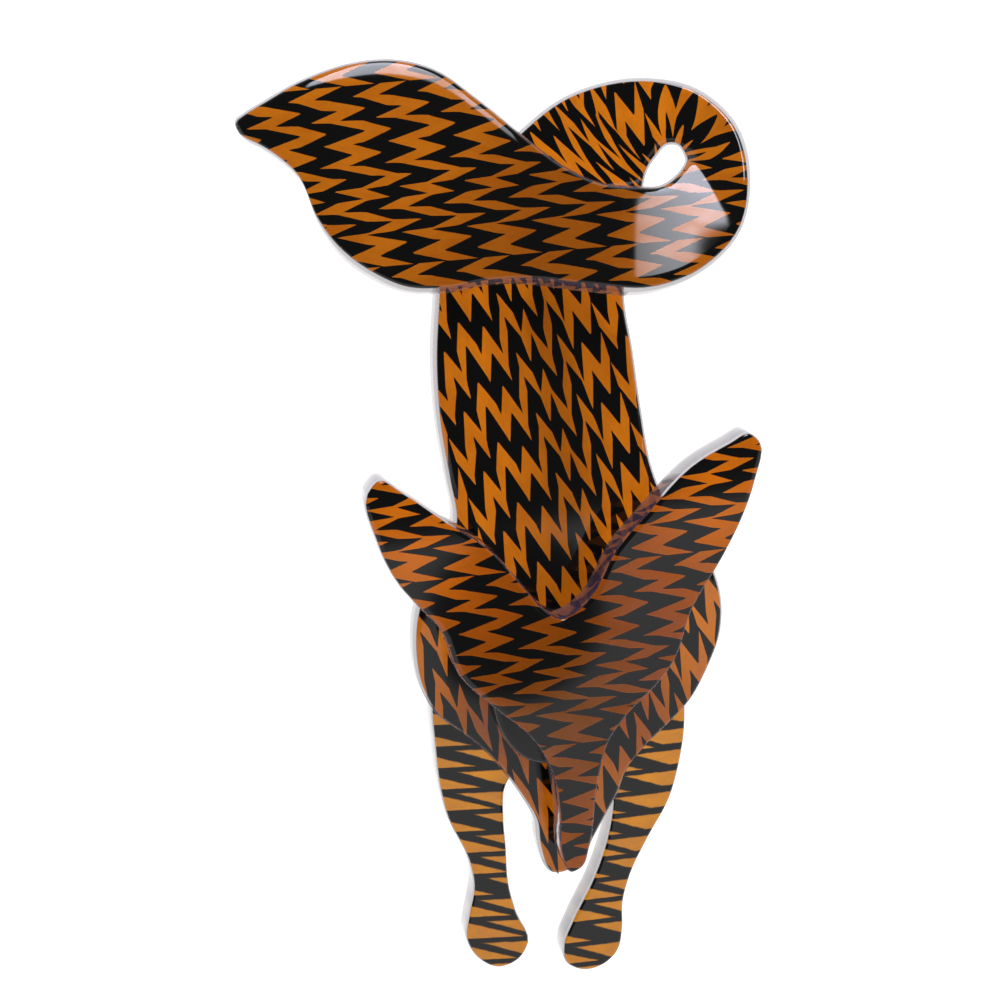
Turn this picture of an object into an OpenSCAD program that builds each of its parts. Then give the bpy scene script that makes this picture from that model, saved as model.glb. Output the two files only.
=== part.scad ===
// Fox brooch cut from laminated sheet, in millimetres.
// It lies on its back: +Z is out of the front, +Y is up the fox, +X is to the viewer's right.
// The origin is the middle of its footprint, on the surface that it lies on.

/* [Body sheet] */
// Height from the tip of the chest to where the body passes behind the tail
body_h = 60; // [48:1:75]
// Width of the chest at its widest
chest_w = 31.6; // [26:0.2:38]
// Thickness of the sheet that the chest, body and tail are bent from
body_t = 3.4; // [2.6:0.1:4.4]
// Clear margin of the sheet outside its print
margin = 0.3; // [0.1:0.05:0.5]

/* [Tail] */
// Width that the tail covers, from its tip to the outside of the curl
tail_l = 48.2; // [40:0.2:58]
// Height that the tail covers, from the top of the body to its highest edge
tail_h = 22.4; // [18:0.2:27]
// How far the lower edge of the tail stands in front of the body
tail_rise = 7.4; // [6:0.1:10]

/* [Head] */
// Width across the tips of the ears
head_w = 38.7; // [32:0.1:46]
// Height from the tip of the snout to the tip of the right ear
head_h = 44.3; // [37:0.1:53]
// Thickness of the head sheet
head_t = 3.4; // [2.6:0.1:4.4]
// Place of the tip of the snout, to the right of the middle of the chest
head_x = -0.3; // [-2:0.1:2]
// Height of the tip of the snout above the tip of the chest
head_y = 2.4; // [0:0.1:5]

/* [Spacer] */
// Width of the oval pad under the head
spacer_w = 11.4; // [9:0.2:14]
// Height of the oval pad
spacer_h = 15.8; // [13:0.2:19]
// Thickness of the oval pad
spacer_t = 2.1; // [1.6:0.1:3]
// Place of the pad's middle, to the right of the middle of the chest
spacer_x = -1.9; // [-3:0.1:1]
// Height of the pad's middle above the tip of the chest
spacer_y = 20.7; // [18:0.1:24]

/* [Legs] */
// Width across both legs
legs_w = 26.6; // [22:0.2:31]
// Height from the soles to the hidden top of the plate
legs_h = 36; // [30:0.5:43]
// Thickness of the legs
legs_t = 3.4; // [2.6:0.1:4.4]
// How far the soles reach below the tip of the chest
legs_drop = 12.5; // [10:0.1:15]

/* [Pin back] */
// Length of the metal bar on the back
pin_l = 36; // [28:1:44]
// Width of the bar
pin_w = 5.4; // [4.4:0.1:6.4]
// Thickness of the bar
pin_t = 0.8; // [0.6:0.1:1.2]
// Diameter of the pin's stem
stem_d = 0.9; // [0.7:0.05:1.1]
// Lean of the bar to the right, from its top to its bottom, in degrees
pin_lean = 5; // [0:0.5:8]
// Place of the bar's middle, to the right of the middle of the chest
pin_x = -0.3; // [-1.5:0.1:1.5]
// Place of the bar along the room between the hidden top of the legs and the bend of the body, as a share
pin_place = 0.31; // [0.05:0.01:0.95]

/* [Fit] */
// Thickness of the glue between two pieces
glue = 0.1; // [0.05:0.05:0.2]
// Size of the small bevel on the edges of the bent sheet
edge_r = 0.45; // [0.3:0.05:0.6]

/* [Hidden] */

// Faces between two rows of a table
ROW_STEPS = 4;
// Facets of the oval pad and of the round parts of the pin back
ROUND = 48;
// Columns of the outlines of the head and the legs, and of a point
ACROSS = 0;
UP = 1;

// The back of the body lies this far above the surface
body_z = legs_t + glue;
spacer_z = body_z + body_t + glue;
head_z = spacer_z + spacer_t + glue;

// Chest and body, from the tip of the chest upwards.
// Height is a share of body_h, the left and right edges are shares of chest_w.
BODY_UP = 0;
BODY_LEFT = 1;
BODY_RIGHT = 2;
BODY = [
    // up, left, right
    [0.00, -0.03, 0.01],
    [0.02, -0.05, 0.06],
    [0.06, -0.07, 0.10],
    [0.10, -0.08, 0.14],
    [0.14, -0.12, 0.18],
    [0.18, -0.17, 0.21],
    [0.22, -0.23, 0.27],
    [0.26, -0.31, 0.35],
    [0.30, -0.40, 0.42],
    [0.35, -0.45, 0.47],
    [0.41, -0.47, 0.51],
    [0.48, -0.46, 0.51],
    [0.54, -0.42, 0.47],
    [0.59, -0.36, 0.40],
    [0.63, -0.34, 0.34],
    [0.70, -0.36, 0.28],
    [0.80, -0.39, 0.24],
    [0.90, -0.40, 0.21],
    [1.00, -0.39, 0.18],
];

// Tail, from the top of the body, round the curl and out to its tip.
// The inner edge is the one next to the hole, and then the tail's upper edge.
// Across is a share of tail_l, up of tail_h and rise of tail_rise.
INNER_ACROSS = 0;
INNER_UP = 1;
INNER_RISE = 2;
OUTER_ACROSS = 3;
OUTER_UP = 4;
OUTER_RISE = 5;
TAIL = [
    // inner across, inner up, inner rise, outer across, outer up, outer rise
    [0.13, 0.14, 0.00, -0.25, 0.20, 0.00],
    [0.15, 0.39, 0.00, -0.18, 0.50, -0.03],
    [0.16, 0.51, 0.00, -0.10, 0.66, -0.12],
    [0.18, 0.59, 0.04, 0.01, 0.83, -0.16],
    [0.20, 0.64, 0.10, 0.15, 0.90, 0.00],
    [0.22, 0.64, 0.16, 0.25, 0.86, 0.20],
    [0.23, 0.61, 0.26, 0.32, 0.72, 0.47],
    [0.23, 0.57, 0.41, 0.34, 0.50, 0.73],
    [0.21, 0.52, 0.52, 0.32, 0.31, 0.87],
    [0.17, 0.47, 0.57, 0.23, 0.13, 0.96],
    [0.13, 0.47, 0.57, 0.14, 0.07, 0.99],
    [0.05, 0.49, 0.58, 0.02, 0.09, 1.00],
    [-0.03, 0.57, 0.58, -0.09, 0.12, 1.00],
    [-0.11, 0.70, 0.52, -0.18, 0.12, 1.00],
    [-0.19, 0.84, 0.40, -0.27, 0.09, 0.98],
    [-0.27, 0.96, 0.29, -0.35, 0.10, 0.95],
    [-0.34, 1.00, 0.24, -0.41, 0.16, 0.90],
    [-0.43, 0.99, 0.23, -0.47, 0.26, 0.81],
    [-0.52, 0.93, 0.25, -0.51, 0.38, 0.67],
    [-0.60, 0.84, 0.27, -0.55, 0.57, 0.48],
    [-0.64, 0.79, 0.29, -0.61, 0.67, 0.38],
    [-0.66, 0.76, 0.31, -0.65, 0.71, 0.33],
];

// Row of TAIL up to which the sheet's back lies flat, and its height
BEND = 1;
bend_y = body_h + TAIL[BEND][INNER_UP] * tail_h;

// Head, clockwise from the tip of the left ear.
// Across is a share of head_w from the snout's middle, up is a share of head_h from its tip.
HEAD = [
    // across, up
    [-0.52, 0.90],
    [-0.49, 0.93],
    [-0.43, 0.90],
    [-0.32, 0.83],
    [-0.22, 0.77],
    [-0.12, 0.67],
    [-0.07, 0.62],
    [-0.03, 0.60],
    [0.00, 0.61],
    [0.04, 0.64],
    [0.11, 0.75],
    [0.19, 0.83],
    [0.30, 0.93],
    [0.40, 0.98],
    [0.45, 1.00],
    [0.48, 0.98],
    [0.47, 0.89],
    [0.44, 0.81],
    [0.39, 0.72],
    [0.31, 0.60],
    [0.27, 0.49],
    [0.24, 0.45],
    [0.14, 0.36],
    [0.10, 0.31],
    [0.07, 0.21],
    [0.05, 0.06],
    [0.03, 0.01],
    [0.00, 0.00],
    [-0.02, 0.03],
    [-0.03, 0.14],
    [-0.05, 0.24],
    [-0.10, 0.32],
    [-0.20, 0.40],
    [-0.29, 0.48],
    [-0.34, 0.59],
    [-0.38, 0.63],
    [-0.44, 0.69],
    [-0.50, 0.80],
];

// Legs, anticlockwise from the top left of the plate, whose top the chest hides.
// Across is a share of legs_w from its middle, up is a share of legs_h from the soles.
LEGS = [
    // across, up
    [-0.12, 1.00],
    [-0.38, 0.99],
    [-0.46, 0.95],
    [-0.48, 0.87],
    [-0.47, 0.72],
    [-0.45, 0.59],
    [-0.42, 0.50],
    [-0.34, 0.37],
    [-0.32, 0.29],
    [-0.34, 0.20],
    [-0.35, 0.13],
    [-0.31, 0.07],
    [-0.22, 0.03],
    [-0.14, 0.05],
    [-0.10, 0.10],
    [-0.15, 0.20],
    [-0.18, 0.29],
    [-0.19, 0.40],
    [-0.20, 0.50],
    [-0.19, 0.59],
    [-0.15, 0.63],
    [-0.08, 0.65],
    [0.10, 0.65],
    [0.19, 0.62],
    [0.23, 0.54],
    [0.22, 0.44],
    [0.16, 0.29],
    [0.07, 0.15],
    [0.04, 0.09],
    [0.05, 0.03],
    [0.12, 0.00],
    [0.20, 0.01],
    [0.26, 0.05],
    [0.28, 0.12],
    [0.28, 0.20],
    [0.31, 0.29],
    [0.38, 0.40],
    [0.46, 0.51],
    [0.50, 0.62],
    [0.52, 0.75],
    [0.50, 0.89],
    [0.46, 0.97],
    [0.39, 0.99],
    [0.13, 1.00],
];

// Slope of a smooth curve at row i, worked out from the rows on both sides of it
function row_slope(rows, i, closed) =
    let (n = len(rows))
    let (before = closed ? rows[(i + n - 1) % n] : rows[max(i - 1, 0)])
    let (after = closed ? rows[(i + 1) % n] : rows[min(i + 1, n - 1)])
    let (gap_before = norm(rows[i] - before))
    let (gap_after = norm(after - rows[i]))
    gap_before == 0 ? (after - rows[i]) / gap_after
    : gap_after == 0 ? (rows[i] - before) / gap_before
    : ((rows[i] - before) * gap_after / gap_before + (after - rows[i]) * gap_before / gap_after)
        / (gap_before + gap_after);

// Place at share s of the way from row i to the next
function between(rows, i, s, closed) =
    let (next = (i + 1) % len(rows))
    let (gap = norm(rows[next] - rows[i]))
    rows[i] * (2 * s ^ 3 - 3 * s ^ 2 + 1)
    + row_slope(rows, i, closed) * gap * (s ^ 3 - 2 * s ^ 2 + s)
    + rows[next] * (3 * s ^ 2 - 2 * s ^ 3)
    + row_slope(rows, next, closed) * gap * (s ^ 3 - s ^ 2);

// All rows of a smooth curve, with its last row if it is open
function smooth(rows, closed) =
    let (last = closed ? len(rows) - 1 : len(rows) - 2)
    concat(
        [for (i = [0 : last]) for (k = [0 : ROW_STEPS - 1]) between(rows, i, k / ROW_STEPS, closed)],
        closed ? [] : [rows[len(rows) - 1]]
    );

// A table of shares made into an outline of the given width and height
function outline(table, wide, high) =
    smooth([for (row = table) [row[ACROSS] * wide, row[UP] * high]], true);

// The bent sheet as rows of two front edge points, each with its place across, up and above the surface
front_z = body_z + body_t;
body_rows = [for (row = BODY) [
    row[BODY_RIGHT] * chest_w, row[BODY_UP] * body_h, front_z,
    row[BODY_LEFT] * chest_w, row[BODY_UP] * body_h, front_z,
]];
tail_rows = [for (row = TAIL) [
    row[INNER_ACROSS] * tail_l, body_h + row[INNER_UP] * tail_h, front_z + row[INNER_RISE] * tail_rise,
    row[OUTER_ACROSS] * tail_l, body_h + row[OUTER_UP] * tail_h, front_z + row[OUTER_RISE] * tail_rise,
]];
sheet_rows = smooth(concat(body_rows, tail_rows), false);

function inner_edge(row) = [row[0], row[1], row[2]];
function outer_edge(row) = [row[3], row[4], row[5]];
function middle(row) = (inner_edge(row) + outer_edge(row)) / 2;
function unit(v) = v / norm(v);

// The eight corners of the sheet at one row, with a small bevel on each edge
function sheet_ring(i) =
    let (row = sheet_rows[i])
    let (before = sheet_rows[max(i - 1, 0)])
    let (after = sheet_rows[min(i + 1, len(sheet_rows) - 1)])
    let (side = unit(inner_edge(row) - outer_edge(row)))
    let (inner = inner_edge(row) + side * margin)
    let (outer = outer_edge(row) - side * margin)
    let (front = unit(cross(side, middle(after) - middle(before))))
    let (bevel = min(edge_r, norm(inner - outer) / 3))
    [
        outer + side * bevel,
        inner - side * bevel,
        inner - front * bevel,
        inner - front * (body_t - bevel),
        inner - side * bevel - front * body_t,
        outer + side * bevel - front * body_t,
        outer - front * (body_t - bevel),
        outer - front * bevel,
    ];

RING = 8;
sheet_points = [for (i = [0 : len(sheet_rows) - 1]) each sheet_ring(i)];
sheet_last = len(sheet_rows) - 1;
sheet_faces = concat(
    [[for (k = [0 : RING - 1]) k]],
    [for (i = [0 : sheet_last - 1]) for (k = [0 : RING - 1]) [
        i * RING + k,
        (i + 1) * RING + k,
        (i + 1) * RING + (k + 1) % RING,
        i * RING + (k + 1) % RING,
    ]],
    [[for (k = [0 : RING - 1]) sheet_last * RING + RING - 1 - k]]
);

head_outline = outline(HEAD, head_w, head_h);
legs_outline = outline(LEGS, legs_w, legs_h);

// The footprint, which sets the origin
head_xs = [for (p = head_outline) p[ACROSS] + head_x];
sheet_xs = [for (p = sheet_points) p[ACROSS]];
sheet_ys = [for (p = sheet_points) p[UP]];
middle_x = (min(sheet_xs) + max(concat(sheet_xs, head_xs))) / 2;
middle_y = (max(sheet_ys) - legs_drop) / 2;

// Places its children, which are drawn from the tip of the chest, in the brooch's own frame
module place() {
    translate([-middle_x, -middle_y, 0])
        children();
}

module body_tail() {
    color("chocolate")
        place()
            polyhedron(sheet_points, sheet_faces, convexity = 6);
}

module head() {
    color("darkorange")
        place()
            translate([head_x, head_y, head_z])
                linear_extrude(head_t)
                    polygon(head_outline);
}

module head_spacer() {
    color("black")
        place()
            translate([spacer_x, spacer_y, spacer_z])
                linear_extrude(spacer_t)
                    polygon([for (k = [0 : ROUND - 1])
                        [cos(360 * k / ROUND) * spacer_w / 2, sin(360 * k / ROUND) * spacer_h / 2]
                    ]);
}

module legs() {
    color("peru")
        place()
            translate([0, -legs_drop, 0])
                linear_extrude(legs_t)
                    polygon(legs_outline);
}

// The hinge and the catch hang from the bar, and their undersides lie level with the back of the legs
pin_depth = legs_t;
pin_room = bend_y - (legs_h - legs_drop) - pin_l;
pin_y = legs_h - legs_drop + pin_place * pin_room + pin_l / 2;
bar_z = pin_depth - pin_t;
hinge_w = 0.62 * pin_w;
hinge_d = bar_z - 0.2;
hinge_y = pin_l / 2 - pin_w / 2;
catch_d = 2.1 * stem_d;
catch_y = -hinge_y;
stem_z = hinge_d / 2;
// How far parts of the metal run into each other where they are soldered
solder = 0.1;

module pin_bar() {
    translate([0, 0, bar_z])
        linear_extrude(pin_t)
            union() {
                square([pin_w, pin_l - pin_w], center = true);
                translate([0, hinge_y])
                    circle(d = pin_w, $fn = ROUND);
                translate([0, catch_y])
                    circle(d = pin_w, $fn = ROUND);
            }
}

module pin_hinge() {
    translate([-hinge_w / 2, hinge_y, stem_z])
        rotate([0, 90, 0])
            cylinder(d = hinge_d, h = hinge_w, $fn = ROUND);
    translate([-hinge_w / 2, hinge_y - hinge_d / 4, stem_z])
        cube([hinge_w, hinge_d / 2, bar_z - stem_z + solder]);
}

module pin_stem() {
    translate([0, hinge_y, stem_z])
        rotate([90, 0, 0])
            cylinder(d = stem_d, h = hinge_y - catch_y + catch_d, $fn = ROUND);
}

module pin_catch() {
    translate([0, catch_y + catch_d / 2, stem_z])
        rotate([90, 0, 0])
            cylinder(d = catch_d, h = catch_d, $fn = ROUND);
    translate([-catch_d / 4, catch_y - catch_d / 2, stem_z])
        cube([catch_d / 2, catch_d, bar_z - stem_z + solder]);
}

module pin_back() {
    color("gold")
        place()
            translate([pin_x, pin_y, 0])
                rotate([0, 0, pin_lean])
                    union() {
                        pin_bar();
                        pin_hinge();
                        pin_stem();
                        pin_catch();
                    }
}

body_tail();
head();
head_spacer();
legs();
pin_back();
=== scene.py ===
"""Fox brooch cut and bent from laminated sheet with a printed zigzag, lying on its back."""
import math

import bpy
from bpy.props import FloatProperty, FloatVectorProperty, PointerProperty
from mathutils import Matrix, Vector


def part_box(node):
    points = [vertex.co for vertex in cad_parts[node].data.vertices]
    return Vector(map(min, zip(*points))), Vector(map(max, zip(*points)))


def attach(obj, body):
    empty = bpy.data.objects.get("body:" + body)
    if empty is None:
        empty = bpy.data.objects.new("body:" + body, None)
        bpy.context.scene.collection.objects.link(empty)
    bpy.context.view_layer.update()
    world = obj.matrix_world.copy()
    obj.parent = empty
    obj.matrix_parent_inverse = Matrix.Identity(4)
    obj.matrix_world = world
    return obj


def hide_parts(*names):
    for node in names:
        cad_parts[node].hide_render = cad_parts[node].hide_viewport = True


bl_info = {
    "name": "Fox brooch",
    "version": (1, 0, 0),
    "blender": (4, 5, 0),
    "location": "View3D > Sidebar > Fox brooch",
    "description": "Makes a fox brooch of bent patterned sheet, piece by piece",
    "category": "Object",
}

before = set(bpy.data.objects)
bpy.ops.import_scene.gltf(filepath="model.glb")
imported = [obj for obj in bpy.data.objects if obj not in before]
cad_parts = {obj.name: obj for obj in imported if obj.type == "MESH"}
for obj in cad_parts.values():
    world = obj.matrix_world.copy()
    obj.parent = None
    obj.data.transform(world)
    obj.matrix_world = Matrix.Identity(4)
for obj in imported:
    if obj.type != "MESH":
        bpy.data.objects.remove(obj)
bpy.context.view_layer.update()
MM = 0.001

# The camera looks at the brooch from a little to the left of and above its front
AIM = Vector((0.6, 4.2, 5.0)) * MM
LOOK_BACK = Vector((-0.196, 0.244, 1.0)).normalized()
CAMERA_DISTANCE = 240 * MM
CAMERA_PLACE = AIM + LOOK_BACK * CAMERA_DISTANCE
CAMERA_RIGHT = Vector((0, 1, 0)).cross(LOOK_BACK).normalized()
CAMERA_UP = LOOK_BACK.cross(CAMERA_RIGHT)
LENS = 87.26
SENSOR_WIDTH = 36.0
CLIP_START, CLIP_END = 0.01, 20.0

# How far the back of each plate is lifted, so that a clear back and the floor never share one place
LIFT = 0.02 * MM

# Glue between two pieces
GLUE = 0.1 * MM
# Front of the chest and the body
FRONT_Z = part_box("head_spacer")[0].z - GLUE

# Chest and body, from the tip of the chest upwards.
# Height is a share of body_h, the left and right edges are shares of chest_w.
BODY = [
    # up, left, right
    (0.00, -0.03, 0.01),
    (0.02, -0.05, 0.06),
    (0.06, -0.07, 0.10),
    (0.10, -0.08, 0.14),
    (0.14, -0.12, 0.18),
    (0.18, -0.17, 0.21),
    (0.22, -0.23, 0.27),
    (0.26, -0.31, 0.35),
    (0.30, -0.40, 0.42),
    (0.35, -0.45, 0.47),
    (0.41, -0.47, 0.51),
    (0.48, -0.46, 0.51),
    (0.54, -0.42, 0.47),
    (0.59, -0.36, 0.40),
    (0.63, -0.34, 0.34),
    (0.70, -0.36, 0.28),
    (0.80, -0.39, 0.24),
    (0.90, -0.40, 0.21),
    (1.00, -0.39, 0.18),
]

# Tail, from the top of the body, round the curl and out to its tip.
# The inner edge is the one next to the hole, and then the tail's upper edge.
# Across is a share of tail_l, up of tail_h and rise of tail_rise.
TAIL = [
    # inner across, inner up, inner rise, outer across, outer up, outer rise
    (0.13, 0.14, 0.00, -0.25, 0.20, 0.00),
    (0.15, 0.39, 0.00, -0.18, 0.50, -0.03),
    (0.16, 0.51, 0.00, -0.10, 0.66, -0.12),
    (0.18, 0.59, 0.04, 0.01, 0.83, -0.16),
    (0.20, 0.64, 0.10, 0.15, 0.90, 0.00),
    (0.22, 0.64, 0.16, 0.25, 0.86, 0.20),
    (0.23, 0.61, 0.26, 0.32, 0.72, 0.47),
    (0.23, 0.57, 0.41, 0.34, 0.50, 0.73),
    (0.21, 0.52, 0.52, 0.32, 0.31, 0.87),
    (0.17, 0.47, 0.57, 0.23, 0.13, 0.96),
    (0.13, 0.47, 0.57, 0.14, 0.07, 0.99),
    (0.05, 0.49, 0.58, 0.02, 0.09, 1.00),
    (-0.03, 0.57, 0.58, -0.09, 0.12, 1.00),
    (-0.11, 0.70, 0.52, -0.18, 0.12, 1.00),
    (-0.19, 0.84, 0.40, -0.27, 0.09, 0.98),
    (-0.27, 0.96, 0.29, -0.35, 0.10, 0.95),
    (-0.34, 1.00, 0.24, -0.41, 0.16, 0.90),
    (-0.43, 0.99, 0.23, -0.47, 0.26, 0.81),
    (-0.52, 0.93, 0.25, -0.51, 0.38, 0.67),
    (-0.60, 0.84, 0.27, -0.55, 0.57, 0.48),
    (-0.64, 0.79, 0.29, -0.61, 0.67, 0.38),
    (-0.66, 0.76, 0.31, -0.65, 0.71, 0.33),
]

# One repeat of the printed zigzag, charted in rows of equal height from its top.
# In each row the left and the right edge of an amber mark run straight from head to foot.
# Across is in teeth from the repeat's own start.
ZIGZAG = [
    # left head, left foot, right head, right foot
    (0.45, 0.05, 0.85, 0.45),
    (0.20, 0.60, 0.65, 1.25),
    (0.85, 0.40, 1.25, 0.85),
    (0.70, 1.25, 1.20, 1.65),
    (1.25, 0.70, 1.65, 1.25),
    (0.60, 1.05, 1.05, 1.50),
    (1.05, 0.55, 1.50, 1.00),
    (0.80, 1.35, 1.25, 1.75),
    (1.60, 1.20, 2.00, 1.60),
    (0.75, 1.25, 1.25, 1.65),
    (0.85, 0.45, 1.30, 0.90),
    (0.80, 1.30, 1.25, 1.70),
    (1.70, 1.30, 2.15, 1.70),
    (0.80, 1.30, 1.25, 1.90),
    (1.45, 1.00, 1.90, 1.50),
    (1.00, 1.55, 1.50, 2.00),
]
LEFT, RIGHT = 0, 2
# Share of a row in which an edge steps over to where it starts in that row
ROW_STEP = 0.1
# Teeth that the marks move to the right from one repeat to the next
REPEAT_SHIFT = 1.6
# Drop of the marks for each tooth across, in teeth
SLANT = 0.09
# Widest reach of the marks' edges, in teeth
ZIGZAG_REACH = 2.2

# The print on the legs: in each row one amber wedge points to the right and one to the left.
# Where their tips lie and how much a tip may change from row to row, in half widths of a leg
LEFT_TIP = 0.46
RIGHT_TIP = -0.22
TIP_CHANGE = 0.85
# How fast a wedge widens away from its tip, in rows for each half width
LEFT_GROWTH = 0.43
RIGHT_GROWTH = 0.50
# Where the right wedge begins under the foot of the left one, in rows
RIGHT_FROM = 0.24
# Greatest height of a wedge, in rows
LEFT_MOST = 0.72
RIGHT_MOST = 0.66


def length(name, value, words):
    """A length that a user can change."""
    return FloatProperty(name=name, default=value, unit="LENGTH", description=words)


def colour(name, value, words):
    """A colour that a user can change."""
    return FloatVectorProperty(name=name, default=value, subtype="COLOR", description=words)


class BroochSizes(bpy.types.PropertyGroup):
    """Sizes of the sheet, of its cut edges and of its print"""

    body_h: length(
        "Body height", 60 * MM, "Height from the tip of the chest to where the body passes behind the tail")
    chest_w: length(
        "Chest width", 31.6 * MM, "Width of the chest at its widest")
    sheet_t: length(
        "Sheet thickness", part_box("head")[1].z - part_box("head")[0].z, "Thickness of the laminated sheet")
    margin: length(
        "Margin of the bent sheet", 0.3 * MM, "Clear margin of the bent sheet outside its print")
    plate_margin: length(
        "Margin of the plates", 0.12 * MM, "Clear margin of the head and the legs outside their print")
    tail_l: length(
        "Tail length", 48.2 * MM, "Width that the tail covers, from its tip to the outside of the curl")
    tail_h: length(
        "Tail height", 22.4 * MM,
        "Height that the tail covers, from the top of the body to its highest edge")
    tail_rise: length(
        "Tail rise", 7.4 * MM, "How far the lower edge of the tail stands in front of the body")
    sheet_round: length(
        "Rounding of the bent sheet", 0.75 * MM,
        "Radius of the polished edge at the front of the bent sheet")
    front_round: length(
        "Rounding of the plates", 0.42 * MM,
        "Radius of the polished edge at the front of the head and the legs")
    back_round: length(
        "Back rounding", 0.2 * MM, "Radius of the edge at the back")
    tooth: length(
        "Tooth", 6.4 * MM, "Width of one tooth of the printed zigzag")
    repeat: length(
        "Repeat", 18.2 * MM, "Height of one repeat of the printed zigzag")
    leg_row: length(
        "Row on the legs", 2.13 * MM, "Height of one row of the wedges printed on the legs")
    leg_half: length(
        "Half a leg", 3.1 * MM, "Half the width of a leg, over which the wedges run")


class BroochColours(bpy.types.PropertyGroup):
    """Colours of the print, of the clear sheet and of the metal"""

    # Amber and Amber of the body are one amber on one bent sheet: the tail's copy is darker, as painted
    # shade
    amber: colour(
        "Amber", (0.600, 0.160, 0.004),
        "Colour of the light that passes through the amber marks of the tail")
    amber_body: colour(
        "Amber of the body", (0.860, 0.235, 0.006),
        "Colour of the light that passes through the amber marks of the body and the chest")
    amber_head: colour(
        "Amber of the head", (1.000, 0.240, 0.006),
        "Colour of the light that passes through the amber marks of the head")
    amber_legs: colour(
        "Amber of the legs", (1.000, 0.400, 0.020),
        "Colour of the light that passes through the amber marks of the legs")
    amber_light: colour(
        "Light amber", (0.640, 0.220, 0.016), "Pearly streaks on the amber marks")
    amber_deep: colour(
        "Deep amber", (0.430, 0.110, 0.004), "Deepest tone on the amber marks")
    black: colour(
        "Black", (0.0045, 0.0045, 0.0040), "Ground of the print, and the pad under the head")
    clear: colour(
        "Clear sheet", (0.080, 0.055, 0.100), "Clear core of the sheet, seen at its cut edges")
    # Painted reflection: the wall under an amber mark takes this warmer tone in place of the mark reflected
    # in the clear wall
    clear_print_reflection: colour(
        "Clear sheet by the amber", (0.26, 0.18, 0.13),
        "Clear core of the sheet where an amber mark runs out to its edge")
    clear_deep: colour(
        "Clear sheet at the back", (0.16, 0.15, 0.18), "Clear core of the sheet next to its back")
    seam: colour(
        "Seam", (0.045, 0.035, 0.030), "Glued layers of the sheet, seen as fine lines at its cut edges")
    brass: colour(
        "Brass", (0.70, 0.50, 0.22), "Metal of the pin back")
    floor: colour(
        "Floor", (0.40, 0.40, 0.40), "Surface that the brooch lies on")


class Wire:
    """A node's output that Python expressions can use: each operator adds one maths node."""

    def __init__(self, maker, socket):
        self.maker = maker
        self.socket = socket

    def __getitem__(self, name):
        return Wire(self.maker, pick(self.socket.node.outputs, name))

    def __add__(self, other):
        return self.maker.maths("ADD", self, other)

    def __radd__(self, other):
        return self.maker.maths("ADD", other, self)

    def __sub__(self, other):
        return self.maker.maths("SUBTRACT", self, other)

    def __rsub__(self, other):
        return self.maker.maths("SUBTRACT", other, self)

    def __mul__(self, other):
        return self.maker.maths("MULTIPLY", self, other)

    def __truediv__(self, other):
        return self.maker.maths("DIVIDE", self, other)

    def __lt__(self, other):
        return self.maker.maths("LESS_THAN", self, other)

    def __gt__(self, other):
        return self.maker.maths("GREATER_THAN", self, other)


def pick(sockets, name):
    """The socket in use that has this name, or the one at this place."""
    if isinstance(name, int):
        return sockets[name]
    return next(s for s in sockets if s.name == name and s.enabled)


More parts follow.
